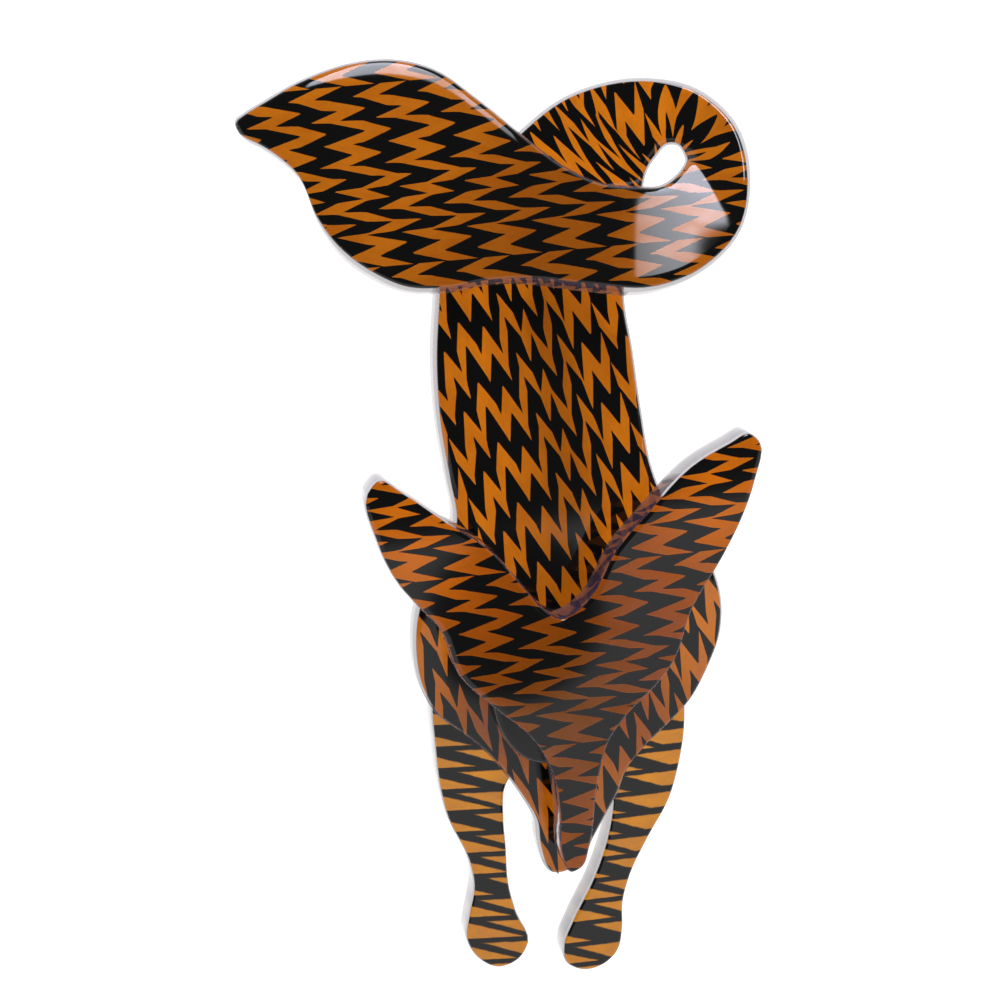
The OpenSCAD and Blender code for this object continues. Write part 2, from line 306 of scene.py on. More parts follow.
class Maker:
    """Adds nodes to a tree."""

    def __init__(self, tree):
        self.tree = tree
        self.start = None

    def add(self, kind, settings=None, sockets=None):
        """Adds a node with its settings, then its sockets' values or links, and returns its output."""
        node = self.tree.nodes.new(kind)
        for name, value in (settings or {}).items():
            if name == "points":
                set_points(node.mapping, value)
            else:
                setattr(node, name, value)
        for name, value in (sockets or {}).items():
            socket = pick(node.inputs, name)
            if isinstance(value, Wire):
                self.tree.links.new(value.socket, socket)
            else:
                socket.default_value = value
        enabled = [s for s in node.outputs if s.enabled]
        return Wire(self, enabled[0]) if enabled else node

    def maths(self, operation, *terms):
        """One Vector Math node where a term is a vector, and one Math node otherwise."""
        vectors = [isinstance(t, Wire) and t.socket.type == "VECTOR" for t in terms]
        if not any(vectors):
            return self.add("ShaderNodeMath", {"operation": operation}, dict(enumerate(terms)))
        if operation == "MULTIPLY" and not all(vectors):
            vector, number = terms if vectors[0] else terms[::-1]
            return self.add(
                "ShaderNodeVectorMath", {"operation": "SCALE"}, {"Vector": vector, "Scale": number})
        return self.add("ShaderNodeVectorMath", {"operation": operation}, dict(enumerate(terms)))

    def split(self, vector):
        """The three parts of a vector."""
        parts = self.add("ShaderNodeSeparateXYZ", {}, {"Vector": vector})
        return parts, parts["Y"], parts["Z"]

    def entry(self, name, kind):
        """Adds a named input to a node group and returns it."""
        self.tree.interface.new_socket(name=name, in_out="INPUT", socket_type=kind)
        if self.start is None:
            self.start = self.tree.nodes.new("NodeGroupInput")
        return Wire(self, pick(self.start.outputs, name))

    def leave(self, geometry):
        """Ends a geometry tree with one mesh."""
        self.tree.interface.new_socket(name="Geometry", in_out="OUTPUT", socket_type="NodeSocketGeometry")
        end = self.tree.nodes.new("NodeGroupOutput")
        self.tree.links.new(geometry.socket, end.inputs[0])

    def named(self, name, kind="FLOAT"):
        """Reads an attribute of the geometry."""
        return self.add("GeometryNodeInputNamedAttribute", {"data_type": kind}, {"Name": name})

    def store(self, geometry, name, value, kind="FLOAT", domain="POINT"):
        """Writes an attribute of the geometry."""
        return self.add(
            "GeometryNodeStoreNamedAttribute", {"data_type": kind, "domain": domain},
            {"Geometry": geometry, "Name": name, "Value": value})

    def surface(self, **settings):
        """A glossy or metal surface. Words in a setting's name are joined by underscores."""
        sockets = {name.replace("_", " "): value for name, value in settings.items()}
        return self.add("ShaderNodeBsdfPrincipled", {}, sockets)

    def mix(self, share, low, high):
        """Colour between low and high."""
        return self.add("ShaderNodeMix", {"data_type": "RGBA"}, {"Factor": share, "A": low, "B": high})

    def blend(self, share, low, high):
        """Shader between low and high."""
        return self.add("ShaderNodeMixShader", {}, {0: share, 1: low, 2: high})

    def fade(self, value, low, high):
        """0 where value is under low, 1 where it is over high, and smooth between them."""
        return self.add(
            "ShaderNodeMapRange", {"interpolation_type": "SMOOTHSTEP"},
            {"Value": value, "From Min": low, "From Max": high})


def set_points(mapping, points):
    """Gives a float curve straight lines through its points."""
    curve = mapping.curves[0]
    while len(curve.points) < len(points):
        curve.points.new(0.5, 0.5)
    for point, place in zip(curve.points, points):
        point.location = place
        point.handle_type = "VECTOR"
    mapping.update()


def sizes():
    return bpy.context.scene.brooch_sizes


def colours():
    return bpy.context.scene.brooch_colours


# Smooth rows through the tables


def row_slope(rows, i):
    """Slope of a smooth curve at row i, worked out from the rows on both sides of it."""
    before = rows[max(i - 1, 0)]
    after = rows[min(i + 1, len(rows) - 1)]
    gap_before = math.dist(rows[i], before)
    gap_after = math.dist(after, rows[i])
    if gap_before == 0:
        return [(b - a) / gap_after for a, b in zip(rows[i], after)]
    if gap_after == 0:
        return [(b - a) / gap_before for a, b in zip(before, rows[i])]
    return [
        ((here - last) * gap_after / gap_before + (ahead - here) * gap_before / gap_after)
        / (gap_before + gap_after)
        for last, here, ahead in zip(before, rows[i], after)
    ]


def row_at(rows, place):
    """Row at a place along the table, counted in rows."""
    i = min(int(place), len(rows) - 2)
    s = place - i
    gap = math.dist(rows[i], rows[i + 1])
    shares = (
        2 * s ** 3 - 3 * s ** 2 + 1,
        gap * (s ** 3 - 2 * s ** 2 + s),
        3 * s ** 2 - 2 * s ** 3,
        gap * (s ** 3 - s ** 2),
    )
    parts = (rows[i], row_slope(rows, i), rows[i + 1], row_slope(rows, i + 1))
    return [sum(k * v for k, v in zip(shares, values)) for values in zip(*parts)]


def edge_rows():
    """The table rows of the bent sheet in metres: inner edge, then outer edge."""
    size = sizes()
    rows = [
        (right * size.chest_w, up * size.body_h, FRONT_Z, left * size.chest_w, up * size.body_h, FRONT_Z)
        for up, left, right in BODY
    ]
    rows += [
        (
            in_x * size.tail_l, size.body_h + in_y * size.tail_h, FRONT_Z + in_z * size.tail_rise,
            out_x * size.tail_l, size.body_h + out_y * size.tail_h, FRONT_Z + out_z * size.tail_rise,
        )
        for in_x, in_y, in_z, out_x, out_y, out_z in TAIL
    ]
    return rows


def seen(point):
    """Where the camera sees a point: right of and below the middle of its picture, at the aim's scale."""
    away = Vector(point) - CAMERA_PLACE
    scale = CAMERA_DISTANCE / -away.dot(LOOK_BACK)
    return scale * away.dot(CAMERA_RIGHT), -scale * away.dot(CAMERA_UP)


# Where the print lies on each piece: a place in the picture in mm right of and below its middle,
# the turn in degrees anticlockwise, the scale, the lean to the right as a share of the way down,
# and the place in the print, in mm, that lies there
PRINT = {
    # across, down, turn, scale, lean, print across, print down
    "tail": (0.0, 0.0, 0, 1.0, 0.0, 15.0, 41.0),
    "body": (4.5, -11.5, 103, 0.97, 0.0, 14.0, -26.5),
    "head": (6.0, 18.0, 1, 0.97, 0.0, -30.5, 14.5),
    "leg_left": (-2.5, 28.5, 3, 1.0, -0.1, 0.0, 0.0),
    "leg_right": (12.5, 33.0, 7, 0.95, 0.4, 1.0, 0.0),
}


def print_place(across, down, name):
    """Place in the print that lies at a place in the picture."""
    at_x, at_y, turn, scale, lean, print_x, print_y = PRINT[name]
    angle = math.radians(turn)
    x, y = across - at_x * MM, down - at_y * MM
    right = (x * math.cos(angle) - y * math.sin(angle)) / scale
    below = (x * math.sin(angle) + y * math.cos(angle)) / scale
    return right + lean * below + print_x * MM, below + print_y * MM


# Middle of the hole in the curl, in mm right of and below the middle of the picture
HOLE = (16.5, -33.5)
# Round the curl the print turns from this angle on, clockwise from straight up, to a quarter turn
CURL_START = math.radians(-13)
CURL_END = math.pi / 2
# Distance from the middle of the hole at which the turning print keeps its scale
CURL_RADIUS = 5.5 * MM
# How far the print creeps outwards round the curl
CURL_CREEP = 1.0 * MM
# Rows, counted from the tip of the chest, between which the body's print passes into the curl's,
# and the row where the tail's begins at the latest
BLEND_FROM = len(BODY) + 0.35
BLEND_TO = len(BODY) + 3
TAIL_FROM = len(BODY) + 7.7


def curl_place(across, down):
    """Place in the print of a place on the curl, where the print turns round the hole."""
    x, y = across - HOLE[0] * MM, down - HOLE[1] * MM
    start, level = print_place(HOLE[0] * MM, HOLE[1] * MM, "tail")
    angle = math.atan2(x, -y)
    if angle > CURL_START:
        turned = (CURL_END - angle) / (CURL_END - CURL_START)
        return start + math.hypot(x, y) + CURL_CREEP * turned, level + CURL_RADIUS * (angle - CURL_END)
    out = x * math.sin(CURL_START) - y * math.cos(CURL_START)
    along = x * math.cos(CURL_START) + y * math.sin(CURL_START)
    return start + CURL_CREEP + out, level + CURL_RADIUS * (CURL_START - CURL_END) + along


def strip_place(point, row):
    """Place in the print of a point of the bent sheet, in a row counted from the tip of the chest."""
    across, down = seen(point)
    if row < BLEND_FROM:
        return print_place(across, down, "body")
    angle = math.atan2(across - HOLE[0] * MM, HOLE[1] * MM - down)
    if row > TAIL_FROM or angle > CURL_END:
        return print_place(across, down, "tail")
    share = min((row - BLEND_FROM) / (BLEND_TO - BLEND_FROM), 1.0)
    pair = zip(print_place(across, down, "body"), curl_place(across, down))
    return tuple(a + (b - a) * share for a, b in pair)


# Bent sheet

# Steps between two rows of a table, and faces across the front, across a wall and round an edge
ROW_STEPS = 7
FACE_STEPS = 14
WALL_STEPS = 3
ROUND_STEPS = 6
ROUND_ANGLES = [math.pi / 2 * k / ROUND_STEPS for k in range(ROUND_STEPS + 1)]
# Most of the sheet's width that one rounded edge takes up where the sheet is narrow
NARROW_SHARE = 0.45
# Points of a finished piece that lie closer than this are joined
JOIN_GAP = 0.002 * MM
# How deep the front's material reaches, as a share of the rounded edge
FRONT_REACH = 1.02


def widen(row):
    """Moves both edges of a row outwards by the clear margin."""
    inner, outer = Vector(row[:3]), Vector(row[3:])
    reach = (inner - outer).normalized() * sizes().margin
    return [*(inner + reach), *(outer - reach)]


def flat_end(row, side):
    """End of a row's flat part, where the rounded edge begins: side 0 is inner, side 1 is outer."""
    here, across = Vector(row[3 * side:3 * side + 3]), Vector(row[3 - 3 * side:6 - 3 * side])
    way = across - here
    return here + way.normalized() * min(sizes().sheet_round, way.length * NARROW_SHARE)


def strip_rows():
    """Rows of the bent sheet in the brooch's frame: both edges, inset, closing and row in the tables."""
    table = edge_rows()
    radius = sizes().sheet_round
    steps = (len(table) - 1) * ROW_STEPS
    plain = [widen(row_at(table, k / ROW_STEPS)) for k in range(steps + 1)]
    middles = [Vector(r[:3]).lerp(Vector(r[3:]), 0.5) for r in plain]

    def end_rows(first, second):
        """Rows of a rounded end, from the closed tip to the full section."""
        gap = (middles[first] - middles[second]).length
        made = [(plain[first], radius, 1.0, first / ROW_STEPS)]
        for angle in ROUND_ANGLES:
            reach = radius * (1 - math.cos(angle)) / gap
            row = [a + (b - a) * reach for a, b in zip(plain[first], plain[second])]
            made.append((row, radius * (1 - math.sin(angle)), 0.0, first / ROW_STEPS))
        return made, reach

    start, reach_a = end_rows(0, 1)
    end, reach_b = end_rows(steps, steps - 1)
    skip_a, skip_b = math.ceil(reach_a), math.ceil(reach_b)
    between = range(skip_a, steps + 1 - skip_b)
    rows = start + [(plain[k], 0.0, 0.0, k / ROW_STEPS) for k in between] + end[::-1]
    low_x = min(min(r[0][0], r[0][3]) for r in rows)
    low_y = min(min(r[0][1], r[0][4]) for r in rows)
    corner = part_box("body_tail")[0]
    place = (corner.x - low_x, corner.y - low_y, 0.0)
    return [([v + place[k % 3] for k, v in enumerate(row)], *rest) for row, *rest in rows]


def section_points():
    """Points round the sheet's section: share across, height in the core, and the outward direction."""
    points = [(k / FACE_STEPS, 1.0, 0.0, 1.0) for k in range(FACE_STEPS + 1)]
    points += [(1.0, 1.0, math.sin(angle), math.cos(angle)) for angle in ROUND_ANGLES[1:]]
    points += [(1.0, 1 - 2 * k / WALL_STEPS, 1.0, 0.0) for k in range(1, WALL_STEPS + 1)]
    points += [(1.0, -1.0, math.cos(angle), -math.sin(angle)) for angle in ROUND_ANGLES[1:]]
    return points + [(1 - s, -h, -x, -y) for s, h, x, y in points[1:-1]]


def add_object(name, data):
    """Adds an object to the scene."""
    piece = bpy.data.objects.new(name, data)
    bpy.context.scene.collection.objects.link(piece)
    return piece


def cloud(name, **fields):
    """A mesh of loose points that carries one vector attribute for each field."""
    mesh = bpy.data.meshes.new(name)
    count = len(next(iter(fields.values())))
    mesh.from_pydata([(0, 0, 0)] * count, [], [])
    for field, values in fields.items():
        attribute = mesh.attributes.new(field, "FLOAT_VECTOR", "POINT")
        attribute.data.foreach_set("vector", [x for value in values for x in value])
    return add_object(name, mesh)


def strip_tree():
    """Tree that lofts the bent sheet through rows of edge points."""
    maker = Maker(bpy.data.node_groups.new("bent_sheet", "GeometryNodeTree"))
    rows = maker.entry("Geometry", "NodeSocketGeometry")
    section = maker.entry("Section", "NodeSocketObject")
    thickness = maker.entry("Thickness", "NodeSocketFloat")
    radius = maker.entry("Edge radius", "NodeSocketFloat")
    material = maker.entry("Material", "NodeSocketMaterial")

    outline = maker.add("GeometryNodeObjectInfo", {}, {"Object": section})["Geometry"]
    count = maker.add("GeometryNodeAttributeDomainSize", {"component": "MESH"}, {"Geometry": rows})
    ring = maker.add("GeometryNodeAttributeDomainSize", {"component": "MESH"}, {"Geometry": outline})
    grid = maker.add(
        "GeometryNodeMeshGrid", {},
        {"Size X": 1.0, "Size Y": 1.0, "Vertices X": count, "Vertices Y": ring + 1})
    index = maker.add("GeometryNodeInputIndex")
    points = ring + 1
    row = maker.maths("FLOOR", (index + 0.5) / points)
    place = maker.maths("MODULO", index - row * points, ring)

    def sample(geometry, field, at):
        value = maker.named(field, "FLOAT_VECTOR")
        return maker.add(
            "GeometryNodeSampleIndex", {"data_type": "FLOAT_VECTOR", "clamp": True},
            {"Geometry": geometry, "Value": value, "Index": at})

    inner = sample(rows, "inner", row)
    outer = sample(rows, "outer", row)
    inset, close, _ = maker.split(sample(rows, "end", row))
    before = sample(rows, "inner", row - 1) + sample(rows, "outer", row - 1)
    after = sample(rows, "inner", row + 1) + sample(rows, "outer", row + 1)
    side = maker.maths("NORMALIZE", inner - outer)
    front = maker.maths("NORMALIZE", maker.maths("CROSS_PRODUCT", side, after - before))

    share, height, _ = maker.split(sample(outline, "core", place))
    away_x, away_y, _ = maker.split(sample(outline, "away", place))
    open_share = 1 - close
    reach = (radius - inset) * open_share
    core = (thickness * 0.5 - radius) * height * open_share
    share = 0.5 + (share - 0.5) * open_share
    width = maker.maths("LENGTH", inner - outer)
    turn = maker.maths("MINIMUM", radius, width * NARROW_SHARE)
    edge_in = inner - side * turn
    edge_out = outer + side * turn
    base = edge_out + (edge_in - edge_out) * share - front * (thickness * 0.5)
    place_at = base + front * (core + away_y * reach) + side * (away_x * reach * turn / radius)

    shaped = maker.add("GeometryNodeSetPosition", {}, {"Geometry": grid["Mesh"], "Position": place_at})

    lay_in = sample(rows, "print_inner", row)
    lay_out = sample(rows, "print_outer", row)
    span = maker.maths("LENGTH", edge_in - edge_out)
    lay = lay_out + (lay_in - lay_out) * (share + away_x * reach * turn / radius / span)
    wall = maker.maths("ABSOLUTE", away_x)
    edge = maker.maths("MAXIMUM", wall, inset / radius)
    shaped = maker.store(shaped, "edge", edge)
    shaped = maker.store(shaped, "depth", 0.5 - (core + away_y * reach) / thickness)
    # The index is counted on the points here, so the place in the print is kept there first
    shaped = maker.store(shaped, "lay", lay, "FLOAT_VECTOR")
    shaped = maker.store(shaped, "print", maker.named("lay", "FLOAT_VECTOR"), "FLOAT2", "CORNER")
    closed = maker.add("GeometryNodeMergeByDistance", {}, {"Geometry": shaped, "Distance": JOIN_GAP})
    smooth = maker.add("GeometryNodeSetShadeSmooth", {}, {"Geometry": closed})
    plain = maker.add("GeometryNodeRemoveAttribute", {}, {"Geometry": smooth, "Name": "lay"})
    maker.leave(dress(maker, plain, material))
    return maker.tree


def dress(maker, geometry, material):
    """Realizes the geometry and sets one material on its printed front and another on the rest."""
    clear = maker.entry("Clear", "NodeSocketMaterial")
    front_depth = maker.entry("Front depth", "NodeSocketFloat")
    real = maker.add("GeometryNodeRealizeInstances", {}, {"Geometry": geometry})
    walls = maker.add("GeometryNodeSetMaterial", {}, {"Geometry": real, "Material": clear})
    front = maker.named("depth") < front_depth
    return maker.add(
        "GeometryNodeSetMaterial", {}, {"Geometry": walls, "Selection": front, "Material": material})


# Cut plates: points of the CAD mesh that lie closer than this are joined, steps along the outline,
# pieces that each step is bent with, and how near to the front or the back a ring of points lies
CAD_GAP = 0.001 * MM
OUTLINE_STEP = 0.4 * MM
OUTLINE_PIECES = 3
RING_GAP = 0.01 * MM
# A face of the front looks up by more than this, and an open edge has fewer faces than this
FRONT_UP = 0.5
OPEN_EDGE = 1.5
# Width of the narrow flat ring between a plate's front or back and its rounded edge
RIM_FLAT = 0.12 * MM


def plate_tree():
    """Tree that turns a cut plate's outline into a plate with polished edges."""
    maker = Maker(bpy.data.node_groups.new("cut_plate", "GeometryNodeTree"))
    plate = maker.entry("Geometry", "NodeSocketGeometry")
    rim = maker.entry("Rim", "NodeSocketObject")
    top = maker.entry("Top", "NodeSocketFloat")
    bottom = maker.entry("Bottom", "NodeSocketFloat")
    material = maker.entry("Material", "NodeSocketMaterial")

    joined = maker.add("GeometryNodeMergeByDistance", {}, {"Geometry": plate, "Distance": CAD_GAP})
    _, _, up = maker.split(maker.add("GeometryNodeInputNormal"))
    face = maker.add(
        "GeometryNodeSeparateGeometry", {"domain": "FACE"}, {"Geometry": joined, "Selection": up > FRONT_UP})
    sides = maker.add("GeometryNodeInputMeshEdgeNeighbors")
    outline = maker.add("GeometryNodeMeshToCurve", {}, {"Mesh": face, "Selection": sides < OPEN_EDGE})
    stepped = maker.add(
        "GeometryNodeResampleCurve", {"mode": "LENGTH"}, {"Curve": outline, "Length": OUTLINE_STEP})
    here = maker.add("GeometryNodeInputPosition")
    index = maker.add("GeometryNodeInputIndex")
    count = maker.add(
        "GeometryNodeAttributeDomainSize", {"component": "CURVE"}, {"Geometry": stepped})["Point Count"]
    after = maker.maths("MODULO", index + 1, count)
    ahead = maker.add(
        "GeometryNodeFieldAtIndex", {"data_type": "FLOAT_VECTOR"}, {"Index": after, "Value": here})
    _, _, spin = maker.split(maker.maths("CROSS_PRODUCT", here, ahead))
    total = maker.add("GeometryNodeAttributeStatistic", {}, {"Geometry": stepped, "Attribute": spin})["Sum"]
    round_way = maker.add("GeometryNodeReverseCurve", {}, {"Curve": stepped, "Selection": total < 0})
    bent = maker.add("GeometryNodeCurveSplineType", {"spline_type": "CATMULL_ROM"}, {"Curve": round_way})
    fine = maker.add("GeometryNodeSetSplineResolution", {}, {"Geometry": bent, "Resolution": OUTLINE_PIECES})
    even = maker.add("GeometryNodeResampleCurve", {"mode": "EVALUATED"}, {"Curve": fine})
    profile = maker.add("GeometryNodeObjectInfo", {}, {"Object": rim})["Geometry"]
    profile = maker.add("GeometryNodeMeshToCurve", {}, {"Mesh": profile})
    swept = maker.add("GeometryNodeCurveToMesh", {}, {"Curve": even, "Profile Curve": profile})
    ends = maker.add("GeometryNodeMeshToCurve", {}, {"Mesh": swept, "Selection": sides < OPEN_EDGE})
    _, _, height = maker.split(here)
    parts = [swept]
    for level in (top, bottom):
        gap = maker.maths("ABSOLUTE", height - level)
        ring = maker.add(
            "GeometryNodeSeparateGeometry", {"domain": "CURVE"},
            {"Geometry": ends, "Selection": gap < RING_GAP})
        flat = maker.add("GeometryNodeFillCurve", {"mode": "TRIANGLES"}, {"Curve": ring})
        lift = maker.add("ShaderNodeCombineXYZ", {}, {"Z": level})
        lifted = maker.add("GeometryNodeTransform", {}, {"Geometry": flat, "Translation": lift})
        if level is bottom:
            lifted = maker.add("GeometryNodeFlipFaces", {}, {"Mesh": lifted})
            lifted = maker.store(lifted, "depth", 1.0)
        parts.append(lifted)
    join = maker.tree.nodes.new("GeometryNodeJoinGeometry")
    for part in parts:
        maker.tree.links.new(part.socket, join.inputs[0])
    whole = Wire(maker, join.outputs[0])
    closed = maker.add("GeometryNodeMergeByDistance", {}, {"Geometry": whole, "Distance": JOIN_GAP})
    smooth = maker.add("GeometryNodeSetShadeSmooth", {}, {"Geometry": closed})
    maker.leave(dress(maker, smooth, material))
    return maker.tree


def bake(source, tree, values, name):
    """Runs a geometry tree on an object and returns its result as a plain mesh object."""
    modifier = source.modifiers.new(tree.name, "NODES")
    modifier.node_group = tree
    for item in tree.interface.items_tree:
        if item.item_type == "SOCKET" and item.in_out == "INPUT" and item.name in values:
            modifier[item.identifier] = values[item.name]
    source.update_tag()
    bpy.context.view_layer.update()
    depsgraph = bpy.context.evaluated_depsgraph_get()
    mesh = bpy.data.meshes.new_from_object(
        source.evaluated_get(depsgraph), preserve_all_data_layers=True, depsgraph=depsgraph)
    mesh.name = name
    piece = add_object(name, mesh)
    source.modifiers.remove(modifier)
    return piece


def drop(*helpers):
    """Deletes objects that were only needed to make a piece."""
    for helper in helpers:
        data = helper.data
        bpy.data.objects.remove(helper)
        bpy.data.meshes.remove(data)


def face_outwards(piece):
    """Turns the faces of a closed mesh outwards if they point inwards."""
    mesh = piece.data
    mesh.calc_loop_triangles()
    volume = 0.0
    for triangle in mesh.loop_triangles:
        a, b, c = (mesh.vertices[i].co for i in triangle.vertices)
        volume += a.dot(b.cross(c))
    if volume < 0:
        mesh.flip_normals()


def front_share(rounding, thickness):
    """Depth to which the front's material reaches, as a share of the sheet's thickness."""
    return FRONT_REACH * rounding / thickness


def rim_section(thickness):
    """Section of a plate's edge, from a narrow flat ring at the front, round the edge, to the back."""
    size = sizes()
    front, back = size.front_round, size.back_round
    points = [(-front - RIM_FLAT, 0.0, 0.0)]
    for angle in ROUND_ANGLES:
        points.append((front * (math.sin(angle) - 1), front * (math.cos(angle) - 1), math.sin(angle)))
    for angle in ROUND_ANGLES:
        up = back * (1 - math.sin(angle)) - thickness
        points.append((back * (math.cos(angle) - 1), up, math.cos(angle)))
    points.append((-back - RIM_FLAT, -thickness, 0.0))
    mesh = bpy.data.meshes.new("rim")
    edges = [(k, k + 1) for k in range(len(points) - 1)]
    mesh.from_pydata([(out, -up, 0) for out, up, _ in points], edges, [])
    for name, values in (
        ("edge", [turned for _, _, turned in points]),
        ("depth", [-up / thickness for _, up, _ in points]),
    ):
        mesh.attributes.new(name, "FLOAT", "POINT").data.foreach_set("value", values)
    return add_object("rim", mesh)


def cut_plate(node, name, material, clear):
    """Makes a plate with polished edges on the outline of a CAD node."""
    low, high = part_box(node)
    low.z += LIFT
    source = add_object(name + "_outline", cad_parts[node].data.copy())
    thickness = high.z - low.z
    rim = rim_section(thickness)
    values = {
        "Rim": rim, "Top": high.z, "Bottom": low.z, "Material": material, "Clear": clear,
        "Front depth": front_share(sizes().front_round, thickness),
    }
    piece = bake(source, plate_tree(), values, name)
    drop(source, rim)
    face_outwards(piece)
    return piece


def lay_print(piece, zone, top):
    """Gives a flat plate the map of the print as it lies on it."""
    layer = piece.data.uv_layers.new(name="print")
    for face in piece.data.polygons:
        name = zone(face.center) if callable(zone) else zone
        for k in face.loop_indices:
            co = piece.data.vertices[piece.data.loops[k].vertex_index].co
            layer.data[k].uv = print_place(*seen((co.x, co.y, top)), name)


# Materials

# How much the clear margin, the bent sheet's walls, a plate's walls, a clear back and a seam hide
# what is behind them
CLEAR_COVER = 0.4
WALL_COVER = 0.58
PLATE_COVER = 0.85
BACK_COVER = 0.25
SEAM_COVER = 0.8
# Depths between which the core takes on its tone at the back, and between which a wall passes into the back
DEEP_FROM, DEEP_TO = 0.5, 0.95
BACK_FROM, BACK_TO = 0.70, 1.0
# Seams of the layers at the walls, by depth from the front to the back of the sheet
SEAMS = [
    # depth, how dark the seam is
    (0.00, 0.0), (0.225, 0.0), (0.25, 0.9), (0.28, 0.0), (0.50, 0.0), (0.53, 0.55), (0.56, 0.0),
    (0.80, 0.0), (0.84, 0.6), (0.88, 0.0), (1.00, 0.0),
]
# Share of the amber marks' light that comes through them from behind, that share on the head,
# and how much either changes with the streaks
AMBER_GLOW = 0.62
HEAD_GLOW = 0.74
AMBER_STREAK = 0.22
# Height over the body within which its lighter amber passes into the tail's darker one.
# The bent sheet is one amber, given a darker copy on the tail as painted shade.
TAIL_SHADE_FADE = 3 * MM
# Roughness and refraction of the printed front and of the clear core, with those of their coats
FRONT_ROUGHNESS = 0.045
FRONT_IOR = 1.5
AMBER_COAT_IOR = 1.75
CLEAR_ROUGHNESS = 0.06
CLEAR_IOR = 1.7
CLEAR_COAT_IOR = 1.6
BLACK_ROUGHNESS = 0.08
# Pearly streaks: how much closer they lie down the sheet than across it, the clouds and the fine
# streaks that they are made of, the share of each, and the values between which they brighten
PEARL_SQUEEZE = 2.2
CLOUDS = {"Scale": 1.1, "Detail": 2.0, "Distortion": 0.5}
STREAKS = {"Scale": 6.0, "Detail": 4.0, "Distortion": 1.2}
CLOUD_SHARE = 0.7
STREAK_SHARE = 0.3
PEARL_FROM, PEARL_TO = 0.3, 0.72
# Small waves of the marks' edges: the noise that makes them, and their reach in teeth
WAVES = {"Scale": 900.0, "Detail": 2.0}
WAVE_REACH = 0.03
# Half the width over which a mark's edge fades, in teeth, and half the turn of the wall over which the
# margin's edge does
MARK_FADE = 0.012
MARGIN_FADE = 0.08
# Grain of the brass: its noise, its least roughness and how much the grain adds, and its relief
GRAIN = {"Scale": 900.0, "Detail": 3.0}
BRASS_ROUGHNESS = 0.22
GRAIN_ROUGHNESS = 0.16
GRAIN_STRENGTH = 0.15
GRAIN_DEPTH = 0.02 * MM
FLOOR_ROUGHNESS = 0.9


def new_material(name):
    """An empty node material, with the maker of its nodes."""
    material = bpy.data.materials.new(name)
    material.use_nodes = True
    material.node_tree.nodes.clear()
    return material, Maker(material.node_tree)


def finish_material(maker, shader):
    """Ends a material's nodes with its shader."""
    end = maker.tree.nodes.new("ShaderNodeOutputMaterial")
    maker.tree.links.new(shader.socket, end.inputs["Surface"])


def rgb(tone):
    """A colour as a shader takes it."""
    return (*tone, 1.0)


def zigzag(maker, across, down):
    """Amber marks of the print: how far inside its nearest edge a place is, in teeth."""
    size = sizes()
    ratio = size.repeat / size.tooth
    run = (down + across * SLANT) / ratio
    repeat = maker.maths("FLOOR", run)
    within = run - repeat

    def edge(side):
        rows = len(ZIGZAG)
        points = []
        for i, row in enumerate(ZIGZAG):
            points.append(((i + ROW_STEP) / rows, row[side] / ZIGZAG_REACH))
            points.append(((i + 1) / rows, row[side + 1] / ZIGZAG_REACH))
        curve = maker.add("ShaderNodeFloatCurve", {"points": points}, {"Value": within})
        return curve * ZIGZAG_REACH

    left, right = edge(LEFT), edge(RIGHT)
    inside = across - repeat * REPEAT_SHIFT - left
    inside = inside - maker.maths("FLOOR", inside)
    width = right - left
    return maker.maths("MINIMUM", inside, width - inside)


def wedges(maker, across, down):
    """Amber wedges of the legs' print: how far inside their edges a place is, in teeth of the zigzag."""
    size = sizes()
    across, down = across * (size.tooth / size.leg_half), down * (size.tooth / size.leg_row)
    row = maker.maths("FLOOR", down)
    noise = maker.add("ShaderNodeTexWhiteNoise", {"noise_dimensions": "1D"}, {"W": row})["Color"]
    left_change, right_change, _ = maker.split(noise)
    above = 1 - (down - row)
    below = down - row - RIGHT_FROM
    left = (LEFT_TIP + (left_change - 0.5) * TIP_CHANGE - across) * LEFT_GROWTH
    right = (across - RIGHT_TIP - (right_change - 0.5) * TIP_CHANGE) * RIGHT_GROWTH
    left = maker.maths("MINIMUM", left, LEFT_MOST)
    right = maker.maths("MINIMUM", right, RIGHT_MOST)
    left = maker.maths("MINIMUM", above, left - above)
    right = maker.maths("MINIMUM", below, right - below)
    inside = maker.maths("MAXIMUM", left, right)
    return inside * (size.leg_row / size.tooth)


def pearl(maker, across, down):
    """Pearly streaks of the amber marks along the sheet, from 0 to 1."""
    point = maker.add("ShaderNodeCombineXYZ", {}, {"X": across, "Y": down * PEARL_SQUEEZE})
    clouds = maker.add("ShaderNodeTexNoise", {}, {"Vector": point, **CLOUDS})
    streaks = maker.add("ShaderNodeTexNoise", {}, {"Vector": point, **STREAKS})
    return maker.fade(clouds * CLOUD_SHARE + streaks * STREAK_SHARE, PEARL_FROM, PEARL_TO)


def print_marks(maker, marks):
    """The print at its place on a piece: how much amber there is, and how pearly it is."""
    size = sizes()
    uv = maker.add("ShaderNodeUVMap", {"uv_map": "print"})
    across, down, _ = maker.split(uv)
    across, down = across / size.tooth, down / size.tooth
    waves = maker.add("ShaderNodeTexNoise", {}, {"Vector": uv, **WAVES})
    inside = marks(maker, across, down) + (waves - 0.5) * WAVE_REACH
    return maker.fade(inside, -MARK_FADE, MARK_FADE), pearl(maker, across, down)


